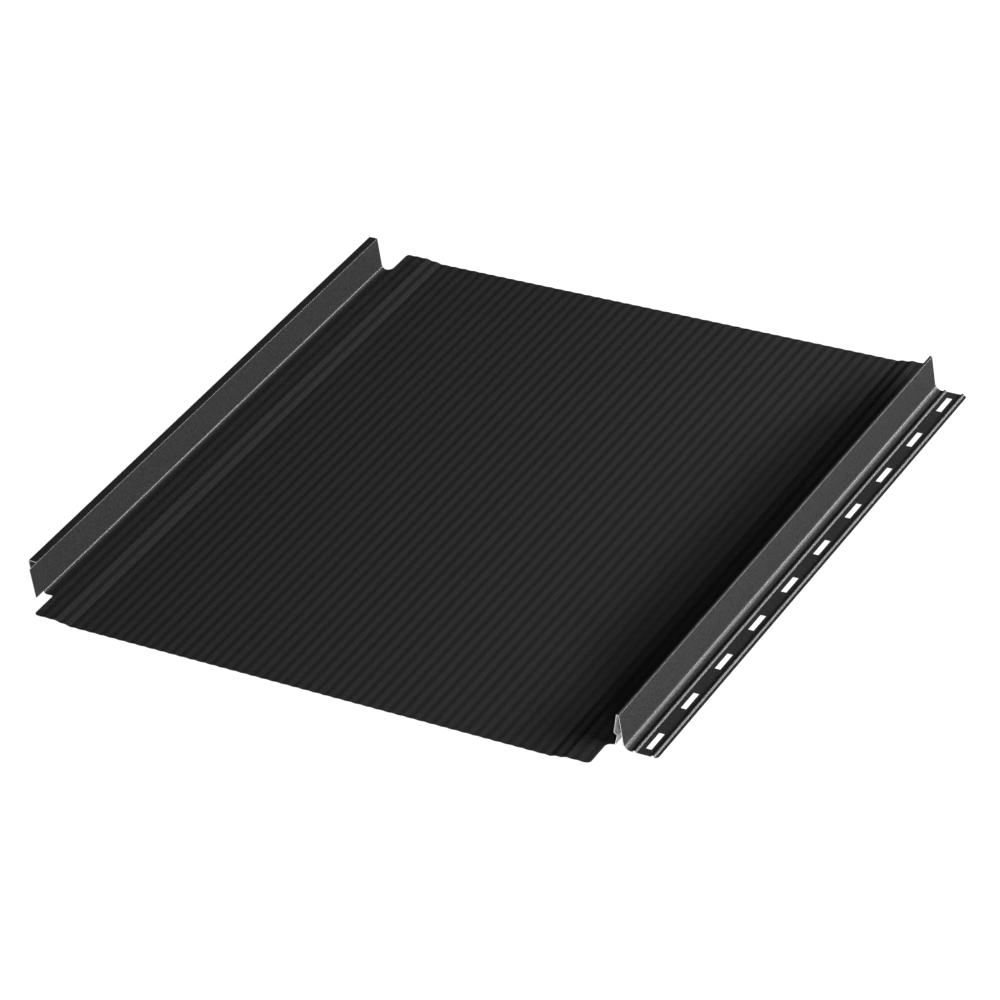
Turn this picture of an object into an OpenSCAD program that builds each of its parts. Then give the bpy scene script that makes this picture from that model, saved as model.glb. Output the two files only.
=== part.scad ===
// Standing seam roof panel: a short length of a self-locking panel, roll-formed from one coated steel sheet.
// X runs across the panel, from the hook edge (-X) to the nailing flange (+X).
// Y runs up the roof slope, with the eaves end at the front (-Y).
// Z is up and is 0 where the panel lies on a level surface.
// The origin is in the middle of the panel's outline.
// Places along the section are those of the middle of the sheet, unless the comment names a face.

/* [Sheet] */
// Thickness of the coated sheet
sheet_t = 0.5; // [0.4:0.05:0.8]
// Inside radius of the tight folds
fold_r = 0.3; // [0.3:0.1:0.8]

/* [Pan] */
// Length of the pan along the roof slope
pan_len = 534.7; // [300:0.1:1200]
// Width of the pan between its two upright walls
pan_w = 509.3; // [400:0.1:600]
// Play between the raised margin and the stiffening beads of the neighbour's flange below it
margin_play = 0.4; // [0.2:0.1:1.5]
// Rib pitches in each margin, counted from the outermost trough to the first trough of the middle
margin_pitches = 4; // [2:1:8]
// Flat strip between the hook wall and the first trough
hook_strip = 5.7; // [4:0.1:9]
// Narrowest flat strip that may be left between the last trough and the click rib
rib_strip_min = 2; // [1.5:0.1:6]

/* [Micro ribs] */
// Distance from one small rib to the next
rib_pitch = 9.28; // [8:0.01:14]
// Height of a small rib from trough to crest
rib_rise = 0.45; // [0.2:0.05:1]

/* [Click rib] */
// Height of the click rib over the level surface
click_h = 31.7; // [26:0.1:40]
// Fall of the narrow top of the click rib towards the nailing flange
click_top_fall = 0.7; // [0:0.1:1]
// Width of the narrow top
click_top_w = 1.7; // [1.4:0.1:3]
// Set-back of the rib's top from the foot of its inner wall
click_top_in = 5.2; // [4:0.1:6]
// Height at which the inner wall stops leaning in and the catch ledge starts
ledge_low_h = 12.4; // [10:0.1:15]
// Set-back of the lower end of the catch ledge from the foot of the inner wall
ledge_low_in = 3.3; // [2.6:0.1:4]
// Rise of the catch ledge from its lower end to its upper end
ledge_rise = 1.7; // [1:0.1:3]
// Set-back of the upper end of the catch ledge from the foot of the inner wall
ledge_high_in = 0.6; // [0.2:0.1:1]
// Set-back of the outer wall's foot from the foot of the inner wall
click_foot_in = 7.1; // [7:0.1:9]
// Inside radius of the wide bend between the outer wall and the nailing flange
click_foot_r = 4.5; // [3:0.1:6]

/* [Hook seam] */
// Play over the click rib that the hook covers
top_play = 0.1; // [0.05:0.05:0.6]
// Play across the click rib that the hook covers
side_play = 0.2; // [0.1:0.05:0.6]
// Play between the hook's catch and the ledge that it snaps under
catch_play = 0.1; // [0.05:0.05:0.4]
// Reach of the catch that turns inwards from the lip
catch_reach = 2.2; // [1.4:0.1:2.8]
// Rise of the catch towards its free edge
catch_rise = 1.5; // [0.8:0.1:2.4]
// Inside radius of the bend between the pan and the hook wall
hook_foot_r = 3.2; // [1:0.1:3.5]

/* [Nailing flange] */
// Distance from the foot of the click rib to the inner stiffening bead
foot_to_bead = 8.8; // [8:0.1:12]
// Distance between the two stiffening beads, which run on each side of the slots
bead_gap = 15.3; // [12:0.1:22]
// Width of a bead at its foot
bead_w = 3.8; // [3.6:0.1:5]
// Width of the flat on top of a bead
bead_top_w = 0.9; // [0.7:0.1:1.2]
// Height of a bead
bead_h = 1.7; // [1:0.1:1.9]
// Distance from the outer bead to the edge of the sheet
edge_strip = 3.5; // [3:0.1:8]

/* [Fixing slots] */
// Distance from one slot to the next
slot_pitch = 50; // [30:1:100]
// Length of a slot along the flange
slot_len = 19.4; // [12:0.1:24]
// Width of a slot across the flange
slot_w = 4.8; // [4:0.1:6]
// Corner radius of a slot
slot_corner_r = 0.3; // [0.3:0.1:1]
// Least distance from the end of the flange to the middle of a slot
slot_end = 16; // [12:1:30]

/* [Notched ends] */
// Length cut off each seam at each end, so that the pan reaches past it as a tongue
notch_len = 25.5; // [10:0.5:60]
// Gap cut between the hook wall's face and the tongue
hook_notch_gap = 9.1; // [6:0.1:20]
// Gap cut between the click rib's face and the tongue at the front end
click_notch_gap = 5.8; // [4:0.1:20]
// Gap cut between the click rib's face and the tongue at the rear end
click_rear_gap = 8; // [4:0.1:20]
// Radius of the tongue's corners and of the flange's outer corners
corner_r = 3; // [1:0.1:6]
// Radius of the notches' inner corners
notch_r = 4.4; // [1:0.1:4.5]
// Radius of the inner corner of the notch at the hook's front end
hook_notch_r = 2.2; // [1:0.1:4]
// Length by which the hook reaches past the floor of its notch at the rear
hook_overrun = 0.6; // [0.5:0.1:3]
// Distance from the hook wall to the end of that longer stretch, towards the tongue
hook_overrun_in = 2.2; // [1:0.1:4]
// Length by which the hook wall alone stands ahead of its flange at the front
wall_tab = 9.1; // [4:0.1:16]
// Height of the lower edge of that standing wall over the level surface
wall_tab_low = 5.2; // [5.2:0.1:10]

/* [Hidden] */

// Turn of one facet of a rolled bend, in degrees
bend_step = 15;

// Radii of the bends
fold_mid_r = fold_r + sheet_t / 2;
hook_foot_mid_r = hook_foot_r + sheet_t / 2;
click_foot_mid_r = click_foot_r + sheet_t / 2;

// Levels. The raised margin clears the neighbour's flange and its beads.
flange_z = sheet_t / 2;
trough_z = sheet_t / 2;
margin_z = trough_z + sheet_t + bead_h + margin_play;
shelf_z = (trough_z + margin_z + rib_rise) / 2;

// Small ribs: whole pitches that fit across the pan, and the half pitches at which the sheet is creased
rib_count = floor((pan_w - hook_strip - rib_strip_min) / rib_pitch);
crease_last = 2 * rib_count;
crease_pan = 2 * margin_pitches;
crease_step_top = crease_pan - 3;

// Click rib and the nailing flange, counted from the hook wall
click_top_z = click_h - sheet_t / 2;
click_foot_x = pan_w + click_foot_in;
bead_in_x = click_foot_x + foot_to_bead;
bead_out_x = bead_in_x + bead_gap;
edge_x = bead_out_x + edge_strip;
slot_x = (bead_in_x + bead_out_x) / 2;

// Hook: it fits over a click rib of the same section, one covering width away
hook_top_z = click_top_z + sheet_t + top_play;
hook_w = click_foot_in - ledge_high_in + 2 * sheet_t + side_play;
lip_x = -hook_w;
outer_lip_x = lip_x - sheet_t / 2;
cover_w = click_foot_x + sheet_t + side_play / 2;

// Lip's foot: the free edge of the catch ends just under the sloping ledge
catch_in = cover_w + lip_x + catch_reach - pan_w;
ledge_run = ledge_low_in - ledge_high_in;
ledge_over_catch = ledge_low_h + ledge_rise * (ledge_low_in - catch_in) / ledge_run;
catch_drop = (sheet_t + catch_play) * norm([ledge_run, ledge_rise]) / ledge_run;
catch_z = ledge_over_catch - catch_drop;
lip_foot_z = catch_z - catch_rise;

// Outline in plan. The tongue's sides keep clear of the two walls.
mid_x = (outer_lip_x + edge_x) / 2;
tongue_left_x = sheet_t / 2 + hook_notch_gap;
tongue_right_x = pan_w - sheet_t / 2 - click_notch_gap;
tongue_rear_right_x = pan_w - sheet_t / 2 - click_rear_gap;
seam_end_y = pan_len / 2 - notch_len;
slot_count = floor((2 * seam_end_y - 2 * slot_end) / slot_pitch) + 1;

// Cutters reach this far past the sheet
over = 1;

// Direction and normal of the sheet's path
function unit(v) = v / norm(v);
function left_of(v) = [-v[1], v[0]];
function turned(v, a) = [v[0] * cos(a) - v[1] * sin(a), v[0] * sin(a) + v[1] * cos(a)];

// Stations along the middle of the sheet at one corner of its path, each as [place, way to the weather side].
// A corner is [x, z, radius at the middle of the sheet], and a radius of 0 is a crisp crease.
function crease(here, a, b) = [[here, (left_of(a) + left_of(b)) / (1 + a * b)]];
function bend(here, a, b, r) =
    let(
        turn = atan2(a[0] * b[1] - a[1] * b[0], a * b),
        side = sign(turn),
        start = here - a * r * tan(abs(turn) / 2),
        centre = start + left_of(a) * r * side,
        steps = ceil(abs(turn) / bend_step)
    )
    [for (k = [0 : steps])
        let(out = turned(left_of(a), turn * k / steps))
        [centre - out * r * side, out]];
function corner(before, here, after) =
    let(
        at = [here[0], here[1]],
        a = unit(at - [before[0], before[1]]),
        b = unit([after[0], after[1]] - at)
    )
    here[2] > 0 ? bend(at, a, b, here[2]) : crease(at, a, b);
function sheet_end(here, along) = [[[here[0], here[1]], left_of(unit(along))]];
function stations(path) =
    let(
        n = len(path),
        first = [path[1][0] - path[0][0], path[1][1] - path[0][1]],
        last = [path[n - 1][0] - path[n - 2][0], path[n - 1][1] - path[n - 2][1]]
    )
    concat(
        sheet_end(path[0], first),
        [for (i = [1 : n - 2]) each corner(path[i - 1], path[i], path[i + 1])],
        sheet_end(path[n - 1], last)
    );

// Closed outline of a sheet that follows a path
function sheet_outline(path) =
    let(s = stations(path), n = len(s))
    concat(
        [for (k = [0 : n - 1]) s[k][0] + s[k][1] * sheet_t / 2],
        [for (k = [n - 1 : -1 : 0]) s[k][0] - s[k][1] * sheet_t / 2]
    );

// Hook: catch, lip, top and wall, ending at the bend into the pan
hook_path = [
    [lip_x + catch_reach, catch_z, 0],
    [lip_x, lip_foot_z, fold_mid_r],
    [lip_x, hook_top_z, fold_mid_r],
    [0, hook_top_z, fold_mid_r],
    [0, margin_z, hook_foot_mid_r]
];

// Pan: small ribs, raised beside the seams and joined to the middle by two steps
function crease_level(i) =
    let(in = min(i, crease_last - i))
    in == crease_pan - 1 || in == crease_pan - 2 ? shelf_z
    : (in <= crease_step_top ? margin_z : trough_z) + (i % 2 == 1 ? rib_rise : 0);
pan_path = [for (i = [0 : crease_last]) [hook_strip + i * rib_pitch / 2, crease_level(i), 0]];

// Click rib: inner wall with its catch ledge, narrow top and outer wall, ending at the wide bend
click_path = [
    [pan_w, margin_z, fold_mid_r],
    [pan_w + ledge_low_in, ledge_low_h, fold_mid_r],
    [pan_w + ledge_high_in, ledge_low_h + ledge_rise, fold_mid_r],
    [pan_w + click_top_in, click_top_z, fold_mid_r],
    [pan_w + click_top_in + click_top_w, click_top_z - click_top_fall, fold_mid_r],
    [click_foot_x, flange_z, click_foot_mid_r]
];

// Nailing flange: flat strip with two stiffening beads
function bead_path(x) = [
    [x - bead_w / 2, flange_z, fold_mid_r],
    [x - bead_top_w / 2, flange_z + bead_h, fold_mid_r],
    [x + bead_top_w / 2, flange_z + bead_h, fold_mid_r],
    [x + bead_w / 2, flange_z, fold_mid_r]
];
flange_path = concat(bead_path(bead_in_x), bead_path(bead_out_x), [[edge_x, flange_z, 0]]);

// The formed sheet before its ends are notched, over the full length of the pan
module formed_sheet() {
    rotate([90, 0, 0])
        linear_extrude(height = pan_len, center = true)
            polygon(sheet_outline(concat(hook_path, pan_path, click_path, flange_path)));
}

// Rectangle between two corners
module area(x0, y0, x1, y1) {
    translate([x0, y0]) square([x1 - x0, y1 - y0]);
}

// Rectangle between two corners, with round corners
module round_area(x0, y0, x1, y1, r) {
    area(x0 + r, y0, x1 - r, y1);
    area(x0, y0 + r, x1, y1 - r);
    for (x = [x0 + r, x1 - r], y = [y0 + r, y1 - r])
        translate([x, y]) circle(r, $fn = 48);
}

// Rounds the inner corner of a notch. The notch lies towards +X and +Y of it, or the other way when flipped.
module notch_corner(x, y, flip_x, flip_y, r) {
    translate([x, y]) mirror([flip_x, 0]) mirror([0, flip_y])
        difference() {
            translate([-over, -over]) square(r + over);
            translate([r, r]) circle(r, $fn = 48);
        }
}

// Outline of the panel seen from above: a pan with a tongue at each end and a seam cut back on each side
module plan() {
    area(outer_lip_x - over, -seam_end_y, edge_x - corner_r, seam_end_y);
    area(outer_lip_x - over, 0, hook_overrun_in, seam_end_y + hook_overrun);
    round_area(edge_x - 2 * corner_r - over, -seam_end_y, edge_x, seam_end_y, corner_r);
    round_area(tongue_left_x, -pan_len / 2, tongue_right_x, 0, corner_r);
    round_area(tongue_left_x, 0, tongue_rear_right_x, pan_len / 2, corner_r);
    notch_corner(tongue_left_x, -seam_end_y, 1, 1, hook_notch_r);
    notch_corner(tongue_left_x, seam_end_y, 1, 0, notch_r);
    notch_corner(hook_overrun_in, seam_end_y, 0, 0, hook_overrun);
    notch_corner(tongue_right_x, -seam_end_y, 0, 1, notch_r);
    notch_corner(tongue_rear_right_x, seam_end_y, 0, 0, notch_r);
}

// Row of fixing slots along the nailing flange
module slots() {
    for (i = [0 : slot_count - 1])
        translate([slot_x, (i - (slot_count - 1) / 2) * slot_pitch])
            round_area(-slot_w / 2, -slot_len / 2, slot_w / 2, slot_len / 2, slot_corner_r);
}

// Space that holds the whole sheet apart from what the notches and the slots cut away
module kept_space() {
    translate([0, 0, -over])
        linear_extrude(height = hook_top_z + sheet_t + 2 * over)
            difference() {
                plan();
                slots();
            }
}

// Space of the hook wall that stands ahead of its flange at the front, up to the fold.
// It is wider on the pan's side, where the bend at the wall's foot starts.
module wall_tab_space() {
    translate([-sheet_t, -seam_end_y - wall_tab, wall_tab_low])
        cube([3 * sheet_t, wall_tab + over, hook_top_z - fold_mid_r - wall_tab_low]);
}

module roof_panel() {
    color([0.14, 0.14, 0.15])
        translate([-mid_x, 0, 0])
            intersection() {
                formed_sheet();
                union() {
                    kept_space();
                    wall_tab_space();
                }
            }
}

roof_panel();
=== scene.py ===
import math

import bpy
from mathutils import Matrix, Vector


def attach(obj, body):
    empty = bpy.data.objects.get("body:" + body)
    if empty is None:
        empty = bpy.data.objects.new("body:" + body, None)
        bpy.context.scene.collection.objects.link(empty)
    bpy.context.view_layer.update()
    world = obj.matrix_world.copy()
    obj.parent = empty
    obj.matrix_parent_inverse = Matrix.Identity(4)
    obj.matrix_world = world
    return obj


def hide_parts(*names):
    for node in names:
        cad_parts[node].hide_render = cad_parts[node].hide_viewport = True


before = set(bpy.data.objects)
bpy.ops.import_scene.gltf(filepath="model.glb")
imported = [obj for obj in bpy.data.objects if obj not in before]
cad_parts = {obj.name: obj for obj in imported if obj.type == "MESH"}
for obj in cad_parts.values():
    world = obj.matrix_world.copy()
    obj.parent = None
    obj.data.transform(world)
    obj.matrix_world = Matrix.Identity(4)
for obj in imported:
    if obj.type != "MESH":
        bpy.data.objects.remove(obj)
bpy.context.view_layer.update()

bpy.ops.object.select_all(action="DESELECT")


# Folded sheet. The real panel is one strip of 0.5 mm galvanized steel, coated matt black on the weather side
# and light grey on the back. A roll former folds it: hook, ribbed pan, click rib and flange are one run of
# sheet. Sizes are in millimetres, X is counted from the hook's wall, and folds lie in the sheet's middle.
MM = 0.001
NEAR = 0.01 * MM
SHEET_T = 0.5
PAN_LEN = 534.7
MID_X = 268.025

FLAT_Z = 0.25
MARGIN_Z = 2.85
SHELF_Z = 1.775
RIB_RISE = 0.45
MARGIN_CREASES = 5
SHELF_CREASES = (6, 7)

HOOK_W = 7.7
HOOK_TOP_Z = 32.05
CATCH_REACH = 2.2
CATCH_Z = 12.38
CATCH_RISE = 1.5

PAN_W = 509.3
FIRST_CREASE_X = 5.7
HALF_RIB = 4.64
CREASE_LAST = 108

LEDGE_LOW_X = PAN_W + 3.3
LEDGE_LOW_Z = 12.4
LEDGE_HIGH_X = PAN_W + 0.6
LEDGE_HIGH_Z = 14.1
CLICK_TOP_X = PAN_W + 5.2
CLICK_TOP_Z = 31.45
CLICK_BACK_X = PAN_W + 6.9
CLICK_BACK_Z = 30.75
CLICK_FOOT_X = PAN_W + 7.1
CLICK_FOOT_RISE = 3.7
CLICK_FOOT_RUN = 3.33

BEAD_XS = (524.9, 540.2)
BEAD_W = 3.1
BEAD_TOP_W = 0.9
BEAD_H = 1.33
EDGE_X = 544.0

FOLD_R = 0.7
BEAD_FOLD_R = 0.35
HOOK_FOOT_R = 3.45
CLICK_FOOT_R = 4.3
CREASE_R = 2.0
BEND_FACET_DEG = 7.5


def row_x(x):
    """Place across the panel in metres, from millimetres from the hook's wall."""
    return (x - MID_X) * MM


def crease_level(crease):
    """Height of the sheet at one crease of the small ribs, counted across the pan from the hook."""
    inward = min(crease, CREASE_LAST - crease)
    if inward in SHELF_CREASES:
        return SHELF_Z
    base = MARGIN_Z if inward <= MARGIN_CREASES else FLAT_Z
    return base + (RIB_RISE if crease % 2 else 0)


def bead_folds(x):
    """The four folds of a stiffening bead of the flange."""
    return [
        (x - BEAD_W / 2, FLAT_Z, BEAD_FOLD_R),
        (x - BEAD_TOP_W / 2, FLAT_Z + BEAD_H, BEAD_FOLD_R),
        (x + BEAD_TOP_W / 2, FLAT_Z + BEAD_H, BEAD_FOLD_R),
        (x + BEAD_W / 2, FLAT_Z, BEAD_FOLD_R),
    ]


# Each fold is its place across the panel, its height, and the radius that it is rolled to. The wide bend at
# the foot of the click rib is rolled in two passes, with a narrow flat between them.
hook_folds = [
    (CATCH_REACH - HOOK_W, CATCH_Z, 0),
    (-HOOK_W, CATCH_Z - CATCH_RISE, FOLD_R),
    (-HOOK_W, HOOK_TOP_Z, FOLD_R),
    (0, HOOK_TOP_Z, FOLD_R),
    (0, MARGIN_Z, HOOK_FOOT_R),
]
pan_creases = [
    (FIRST_CREASE_X + crease * HALF_RIB, crease_level(crease), CREASE_R)
    for crease in range(CREASE_LAST + 1)
]
click_folds = [
    (PAN_W, MARGIN_Z, FOLD_R),
    (LEDGE_LOW_X, LEDGE_LOW_Z, FOLD_R),
    (LEDGE_HIGH_X, LEDGE_HIGH_Z, FOLD_R),
    (CLICK_TOP_X, CLICK_TOP_Z, FOLD_R),
    (CLICK_BACK_X, CLICK_BACK_Z, FOLD_R),
    (CLICK_FOOT_X, FLAT_Z + CLICK_FOOT_RISE, CLICK_FOOT_R),
    (CLICK_FOOT_X + CLICK_FOOT_RUN, FLAT_Z, CLICK_FOOT_R),
]
flange_folds = bead_folds(BEAD_XS[0]) + bead_folds(BEAD_XS[1]) + [(EDGE_X, FLAT_Z, 0)]
folds = hook_folds + pan_creases + click_folds + flange_folds


def select_edges(obj, wanted):
    """Selects the edges whose two ends pass the test together, for the next step in edit mode."""
    bpy.ops.object.mode_set(mode="EDIT")
    bpy.ops.mesh.select_mode(type="EDGE")
    bpy.ops.mesh.select_all(action="DESELECT")
    bpy.ops.object.mode_set(mode="OBJECT")
    points = obj.data.vertices
    for edge in obj.data.edges:
        edge.select = wanted(*(points[v].co for v in edge.vertices))
    bpy.ops.object.mode_set(mode="EDIT")


def both_at(spot, start, end):
    """Whether both ends of an edge, seen along it, lie on one spot."""
    return max((start - spot).length, (end - spot).length) < NEAR


# The outer strip of the flange is laid down flat, and its inner edge is drawn along the section
strip_w = folds[-1][0] - folds[-2][0]
strip_mid_x = (folds[-1][0] + folds[-2][0]) / 2
bpy.ops.mesh.primitive_plane_add(size=1, location=(row_x(strip_mid_x), 0, FLAT_Z * MM))
panel = bpy.context.object
panel.name = "folded_sheet"
bpy.ops.object.mode_set(mode="EDIT")
bpy.ops.transform.resize(value=(strip_w * MM, PAN_LEN * MM, 1), center_override=panel.location)
select_edges(panel, lambda start, end: max(start.x, end.x) < 0)
for here, before in zip(folds[-2:0:-1], folds[-3::-1]):
    step = ((before[0] - here[0]) * MM, 0, (before[1] - here[1]) * MM)
    bpy.ops.mesh.extrude_region_move(TRANSFORM_OT_translate={"value": step})
bpy.ops.object.mode_set(mode="OBJECT")
bpy.ops.object.transform_apply(location=True, rotation=True, scale=True)


def round_fold(before, here, after):
    """Rolls one fold of the sheet to its radius."""
    arriving = Vector((here[0] - before[0], here[1] - before[1]))
    leaving = Vector((after[0] - here[0], after[1] - here[1]))
    turn = arriving.angle(leaving)
    spot = Vector((row_x(here[0]), here[1] * MM))
    select_edges(panel, lambda start, end: both_at(spot, start.xz, end.xz))
    bpy.ops.mesh.bevel(
        offset_type="OFFSET",
        offset=here[2] * math.tan(turn / 2) * MM,
        segments=max(2, round(math.degrees(turn) / BEND_FACET_DEG)),
        affect="EDGES",
    )
    bpy.ops.object.mode_set(mode="OBJECT")


for before, here, after in zip(folds[:-2], folds[1:-1], folds[2:]):
    round_fold(before, here, after)


def node_material(name):
    """New node material with its shader, ready for its own nodes."""
    material = bpy.data.materials.new(name)
    material.use_nodes = True
    return material, material.node_tree, material.node_tree.nodes["Principled BSDF"]


def add_noise(tree, scale, detail):
    """Noise on the piece's own coordinates, which are in metres, through a Mapping node."""
    where = tree.nodes.new("ShaderNodeTexCoord")
    mapping = tree.nodes.new("ShaderNodeMapping")
    tree.links.new(where.outputs["Object"], mapping.inputs["Vector"])
    noise = tree.nodes.new("ShaderNodeTexNoise")
    noise.inputs["Scale"].default_value = scale
    noise.inputs["Detail"].default_value = detail
    tree.links.new(mapping.outputs["Vector"], noise.inputs["Vector"])
    return noise.outputs["Fac"]


def add_ramp(tree, factor, stops, colours):
    """Blend between two colours, or two greys that stand for numbers."""
    ramp = tree.nodes.new("ShaderNodeValToRGB")
    for element, stop, colour in zip(ramp.color_ramp.elements, stops, colours):
        element.position = stop
        element.color = (*colour, 1)
    tree.links.new(factor, ramp.inputs["Fac"])
    return ramp.outputs["Color"]


def add_bump(tree, height, strength, distance):
    """Relief of the surface, linked into the shader's normal."""
    bump = tree.nodes.new("ShaderNodeBump")
    bump.inputs["Strength"].default_value = strength
    bump.inputs["Distance"].default_value = distance
    tree.links.new(height, bump.inputs["Height"])
    tree.links.new(bump.outputs["Normal"], tree.nodes["Principled BSDF"].inputs["Normal"])


# Matt black coating, baked on in a fine grain that breaks up every highlight. It stays dull where it is seen
# at a flat angle, so its shine is a dark metal's with a dark edge tint.
NOISE_STOPS = (0.3, 0.7)
COAT_GRAIN = 1350
COAT_COLOURS = ((0.016, 0.016, 0.0162), (0.034, 0.034, 0.0343))
COAT_ROUGHNESS = ((0.24,) * 3, (0.42,) * 3)
COAT_EDGE_TINT = (0.38, 0.38, 0.38, 1)

weather_coat, tree, shader = node_material("matt_black_coat")
grain = add_noise(tree, COAT_GRAIN, 2)
colour = add_ramp(tree, grain, NOISE_STOPS, COAT_COLOURS)
tree.links.new(colour, shader.inputs["Base Color"])
roughness = add_ramp(tree, grain, NOISE_STOPS, COAT_ROUGHNESS)
tree.links.new(roughness, shader.inputs["Roughness"])
shader.inputs["Metallic"].default_value = 0.6
shader.inputs["Specular IOR Level"].default_value = 0
shader.inputs["Specular Tint"].default_value = COAT_EDGE_TINT
add_bump(tree, grain, strength=0.7, distance=0.1 * MM)

# Thin light grey backing coat, slightly cloudy
BACK_CLOUD = 300
BACK_COLOURS = ((0.15, 0.153, 0.153), (0.2, 0.204, 0.204))

back_coat, tree, shader = node_material("light_grey_backing_coat")
cloud = add_noise(tree, BACK_CLOUD, 4)
colour = add_ramp(tree, cloud, NOISE_STOPS, BACK_COLOURS)
tree.links.new(colour, shader.inputs["Base Color"])
shader.inputs["Roughness"].default_value = 0.5
add_bump(tree, cloud, strength=0.15, distance=0.1 * MM)

# Sheared steel with its zinc drawn over the edge
SHEAR_MARKS = 2500
STEEL_COLOURS = ((0.45, 0.45, 0.46), (0.75, 0.75, 0.76))

cut_edge, tree, shader = node_material("sheared_steel_edge")
shear = add_noise(tree, SHEAR_MARKS, 3)
colour = add_ramp(tree, shear, NOISE_STOPS, STEEL_COLOURS)
tree.links.new(colour, shader.inputs["Base Color"])
shader.inputs["Metallic"].default_value = 0.7
shader.inputs["Roughness"].default_value = 0.4
add_bump(tree, shear, strength=0.3, distance=0.05 * MM)

# The same cut edge with painted shade: a dark copy of the sheared steel, put on the edges that are to look
# shaded
SHADED_EDGE_COLOURS = ((0.01, 0.01, 0.01), (0.022, 0.022, 0.0222))

shaded_cut_edge, tree, shader = node_material("painted_shade_cut_edge")
shear = add_noise(tree, SHEAR_MARKS, 3)
colour = add_ramp(tree, shear, NOISE_STOPS, SHADED_EDGE_COLOURS)
tree.links.new(colour, shader.inputs["Base Color"])
shader.inputs["Roughness"].default_value = 0.6
shader.inputs["Specular IOR Level"].default_value = 0.2

# Solidify gives the weather side the first finish, the back the second and the rim the third, the dark edge
# with painted shade. The fourth comes onto the sheet with the cuts.
for material in (weather_coat, back_coat, shaded_cut_edge, cut_edge):
    panel.data.materials.append(material)

thick = panel.modifiers.new("sheet_thickness", "SOLIDIFY")
thick.thickness = SHEET_T * MM
thick.offset = 0
thick.use_even_offset = True
thick.material_offset = 1
thick.material_offset_rim = 2
bpy.ops.object.modifier_apply(modifier=thick.name)


# Notched ends. A press cuts both seams back at each end, so that the pan stands out as a tongue, and at the
# front it leaves the upper part of the hook's wall standing ahead. The outline that is kept is drawn as a
# block, higher than the seams.
FRONT = -1
REAR = 1
END_FACING = 0.9

SEAM_END_Y = 241.85
NOTCH_LEN = 25.5
OUTER_LIP_X = -7.95
TONGUE_LEFT_X = 9.35
TONGUE_RIGHT_X = 503.25
TONGUE_REAR_RIGHT_X = 501.05
HOOK_OVERRUN = 0.6
HOOK_OVERRUN_X = 2.2
WALL_TAB = 9.1
WALL_TAB_LOW = 5.2
WALL_TAB_HIGH = 31.5
WALL_TAB_LEFT_X = -0.5
WALL_TAB_RIGHT_X = 1
BLOCK_LOW = -2
BLOCK_HIGH = 36
BLOCK_SPARE = 1

CORNER_R = 3
NOTCH_R = 4.4
HOOK_NOTCH_R = 2.2
HOOK_OVERRUN_R = 0.55
CORNER_FACETS = 8


def select_faces(obj, wanted):
    """Selects the faces that pass the test, for the next step in edit mode."""
    bpy.ops.object.mode_set(mode="EDIT")
    bpy.ops.mesh.select_mode(type="FACE")
    bpy.ops.mesh.select_all(action="DESELECT")
    bpy.ops.object.mode_set(mode="OBJECT")
    for face in obj.data.polygons:
        face.select = wanted(face)
    bpy.ops.object.mode_set(mode="EDIT")


def end_face(side, x0, x1, z0=BLOCK_LOW, z1=BLOCK_HIGH):
    """Test for the faces of the block's front or rear end between these places, in millimetres."""
    def wanted(face):
        return (
            face.normal.y * side > END_FACING
            and row_x(x0) < face.center.x < row_x(x1)
            and z0 * MM < face.center.z < z1 * MM
        )
    return wanted


left_x = OUTER_LIP_X - BLOCK_SPARE
block_size = (EDGE_X - left_x, 2 * SEAM_END_Y, BLOCK_HIGH - BLOCK_LOW)
block_mid = (row_x((left_x + EDGE_X) / 2), 0, (BLOCK_LOW + BLOCK_HIGH) / 2 * MM)
bpy.ops.object.select_all(action="DESELECT")
bpy.ops.mesh.primitive_cube_add(size=1, location=block_mid, scale=[size * MM for size in block_size])
kept = bpy.context.object
bpy.ops.object.transform_apply(location=True, rotation=True, scale=True)
kept.data.materials.append(cut_edge)

for side, x in (
    (FRONT, WALL_TAB_LEFT_X),
    (FRONT, WALL_TAB_RIGHT_X),
    (FRONT, TONGUE_LEFT_X),
    (FRONT, TONGUE_RIGHT_X),
    (REAR, HOOK_OVERRUN_X),
    (REAR, TONGUE_LEFT_X),
    (REAR, TONGUE_REAR_RIGHT_X),
):
    select_faces(kept, end_face(side, left_x, EDGE_X))
    bpy.ops.mesh.bisect(plane_co=(row_x(x), 0, 0), plane_no=(1, 0, 0))
for z in (WALL_TAB_LOW, WALL_TAB_HIGH):
    select_faces(kept, end_face(FRONT, WALL_TAB_LEFT_X, WALL_TAB_RIGHT_X))
    bpy.ops.mesh.bisect(plane_co=(0, 0, z * MM), plane_no=(0, 0, 1))

for wanted, length in (
    (end_face(FRONT, TONGUE_LEFT_X, TONGUE_RIGHT_X), -NOTCH_LEN),
    (end_face(REAR, TONGUE_LEFT_X, TONGUE_REAR_RIGHT_X), NOTCH_LEN),
    (end_face(REAR, left_x, HOOK_OVERRUN_X), HOOK_OVERRUN),
    (end_face(FRONT, WALL_TAB_LEFT_X, WALL_TAB_RIGHT_X, WALL_TAB_LOW, WALL_TAB_HIGH), -WALL_TAB),
):
    select_faces(kept, wanted)
    bpy.ops.mesh.extrude_region_move(TRANSFORM_OT_translate={"value": (0, length * MM, 0)})
bpy.ops.object.mode_set(mode="OBJECT")

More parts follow.
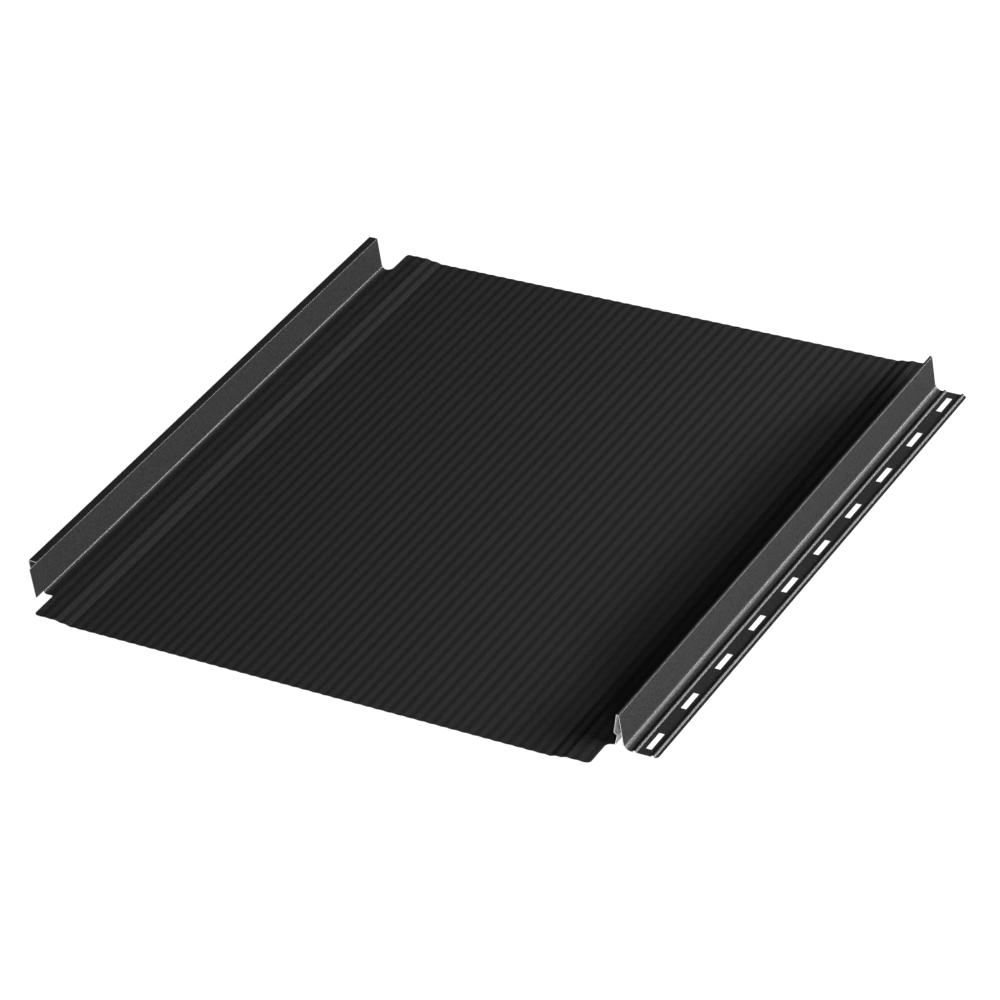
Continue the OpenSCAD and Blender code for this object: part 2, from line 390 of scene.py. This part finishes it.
tongue_end_y = SEAM_END_Y + NOTCH_LEN
for x, y, radius in (
    (TONGUE_LEFT_X, -tongue_end_y, CORNER_R),
    (TONGUE_RIGHT_X, -tongue_end_y, CORNER_R),
    (TONGUE_LEFT_X, tongue_end_y, CORNER_R),
    (TONGUE_REAR_RIGHT_X, tongue_end_y, CORNER_R),
    (EDGE_X, -SEAM_END_Y, CORNER_R),
    (EDGE_X, SEAM_END_Y, CORNER_R),
    (TONGUE_LEFT_X, -SEAM_END_Y, HOOK_NOTCH_R),
    (TONGUE_RIGHT_X, -SEAM_END_Y, NOTCH_R),
    (TONGUE_LEFT_X, SEAM_END_Y, NOTCH_R),
    (TONGUE_REAR_RIGHT_X, SEAM_END_Y, NOTCH_R),
    (HOOK_OVERRUN_X, SEAM_END_Y, HOOK_OVERRUN_R),
):
    corner = Vector((row_x(x), y * MM))
    select_edges(kept, lambda start, end: both_at(corner, start.xy, end.xy))
    bpy.ops.mesh.bevel(offset=radius * MM, segments=CORNER_FACETS, affect="EDGES")
    bpy.ops.object.mode_set(mode="OBJECT")


def cut_sheet(cutter, operation):
    """Cuts the sheet with a block, whose own finish goes onto the cut faces, and clears the block away."""
    bpy.ops.object.select_all(action="DESELECT")
    bpy.context.view_layer.objects.active = panel
    cut = panel.modifiers.new("press_cut", "BOOLEAN")
    cut.object = cutter
    cut.operation = operation
    cut.solver = "EXACT"
    cut.material_mode = "TRANSFER"
    bpy.ops.object.modifier_apply(modifier=cut.name)
    bpy.data.objects.remove(cutter)


cut_sheet(kept, "INTERSECT")


# Fixing slots. Ten slots are punched in one line between the flange's two beads, for screws that let the
# sheet move as it warms up. The punch rounds their corners only a little.
SLOT_PITCH = 50
SLOT_COUNT = 10
SLOT_LEN = 19.4
SLOT_W = 4.8
SLOT_CORNER_R = 0.3
SLOT_CORNER_FACETS = 4
PUNCH_H = 10

slot_x = sum(BEAD_XS) / 2
first_y = -(SLOT_COUNT - 1) / 2 * SLOT_PITCH
bpy.ops.mesh.primitive_cube_add(
    size=1,
    location=(row_x(slot_x), first_y * MM, 0),
    scale=(SLOT_W * MM, SLOT_LEN * MM, PUNCH_H * MM),
)
punch = bpy.context.object
bpy.ops.object.transform_apply(location=True, rotation=True, scale=True)
punch.data.materials.append(cut_edge)
select_edges(punch, lambda start, end: abs(start.z - end.z) > MM)
bpy.ops.mesh.bevel(offset=SLOT_CORNER_R * MM, segments=SLOT_CORNER_FACETS, affect="EDGES")
bpy.ops.object.mode_set(mode="OBJECT")
row = punch.modifiers.new("row_of_punches", "ARRAY")
row.count = SLOT_COUNT
row.use_relative_offset = False
row.use_constant_offset = True
row.constant_offset_displace = (0, SLOT_PITCH * MM, 0)
bpy.ops.object.modifier_apply(modifier=row.name)
cut_sheet(punch, "DIFFERENCE")


# Cut edges. The shear leaves bright steel at the ends of both seams. Along the pan, the flange and the
# slots, and on the front end of the standing wall, the cut edges get the dark copy of that finish instead:
# painted shade, so that these low and forward-facing edges look shaded.
BRIGHT_FROM_Z = 4
SHARP_FROM_DEG = 28

finish_index = {slot.material.name: slot.slot_index for slot in panel.material_slots}
wall_end_y = -(SEAM_END_Y + WALL_TAB)
# Painted shade: cut faces below BRIGHT_FROM_Z and on the wall's front end are switched to the dark shaded
# copy of the edge finish
for face in panel.data.polygons:
    if face.material_index == finish_index["sheared_steel_edge"]:
        on_wall_end = abs(face.center.y - wall_end_y * MM) < NEAR
        if on_wall_end or face.center.z < BRIGHT_FROM_Z * MM:
            face.material_index = finish_index["painted_shade_cut_edge"]

# The panel is cleaned up, its bends are shaded round and its strips flat, and it stands for the CAD solid
panel.select_set(True)
bpy.context.view_layer.objects.active = panel
bpy.ops.object.mode_set(mode="EDIT")
bpy.ops.mesh.select_all(action="SELECT")
bpy.ops.mesh.remove_doubles(threshold=0.001 * MM)
bpy.ops.mesh.normals_make_consistent(inside=False)
bpy.ops.object.mode_set(mode="OBJECT")
bpy.ops.object.shade_smooth_by_angle(angle=math.radians(SHARP_FROM_DEG))
flat_first = panel.modifiers.new("flat_strips_stay_flat", "WEIGHTED_NORMAL")
flat_first.keep_sharp = True
bpy.ops.object.modifier_apply(modifier=flat_first.name)
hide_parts("roof_panel")
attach(panel, "root")


# Studio. The floor is pale and glows faintly, so that it stays white around the panel. Long soft lights
# stand low on the flange's side and rake over the small ribs, with weaker ones behind and opposite. The air
# is pale at the horizon and dim overhead.
FLOOR_SIZE = 12
FLOOR_Z = -0.5
HORIZON_BAND = (0.0, 0.08)
AIR_COLOURS = ((2.6, 2.6, 2.6), (0.06, 0.06, 0.06))

bpy.ops.mesh.primitive_plane_add(size=FLOOR_SIZE, location=(0, 0, FLOOR_Z * MM))
floor = bpy.context.object
floor.name = "pale_floor"
floor_paint, tree, shader = node_material("pale_floor_paint")
shader.inputs["Base Color"].default_value = (0.05, 0.05, 0.05, 1)
shader.inputs["Roughness"].default_value = 0.9
shader.inputs["Specular IOR Level"].default_value = 0
shader.inputs["Emission Color"].default_value = (1, 1, 1, 1)
shader.inputs["Emission Strength"].default_value = 1
floor.data.materials.append(floor_paint)

world = bpy.data.worlds.new("pale_air")
world.use_nodes = True
tree = world.node_tree
direction = tree.nodes.new("ShaderNodeTexCoord")
height = tree.nodes.new("ShaderNodeSeparateXYZ")
tree.links.new(direction.outputs["Generated"], height.inputs["Vector"])
air = add_ramp(tree, height.outputs["Z"], HORIZON_BAND, AIR_COLOURS)
tree.links.new(air, tree.nodes["Background"].inputs["Color"])
bpy.context.scene.world = world


def soft_light(name, place, width, height, power):
    """Rectangular soft light that looks at the panel."""
    aim = (Vector((0, 0, 0)) - Vector(place)).to_track_quat("-Z", "Y").to_euler()
    bpy.ops.object.light_add(type="AREA", location=place, rotation=aim)
    light = bpy.context.object
    light.name = name
    light.data.shape = "RECTANGLE"
    light.data.size = width
    light.data.size_y = height
    light.data.energy = power


soft_light("front_key", (1.899, -2.263, 0.521), 1, 0.35, 122)
soft_light("side_key", (1.691, 0, 0.616), 0.8, 0.3, 44)
soft_light("side_key_high", (1.526, 0, 0.954), 0.8, 0.3, 34)
soft_light("side_key_rear", (2.555, 1.191, 1.026), 1, 0.35, 55)
soft_light("rear_corner", (2.089, 2.089, 0.521), 1, 0.35, 140)
soft_light("rear_fill", (0, 2.719, 1.268), 1.5, 0.4, 32)
soft_light("opposite_fill", (-2.719, 0, 1.268), 2.5, 0.4, 4)

# The camera looks down on the panel from its front and the flange's side, a little rolled
CAMERA_PLACE = (1.8192, -2.42826, 2.06944)
CAMERA_TURN_DEG = (55.2774, 7.8697, 31.4988)

bpy.ops.object.camera_add(
    location=CAMERA_PLACE,
    rotation=[math.radians(angle) for angle in CAMERA_TURN_DEG],
)
camera = bpy.context.object
camera.data.sensor_width = 36
camera.data.lens = 171.81
bpy.context.scene.camera = camera
bpy.context.scene.view_settings.view_transform = "Standard"
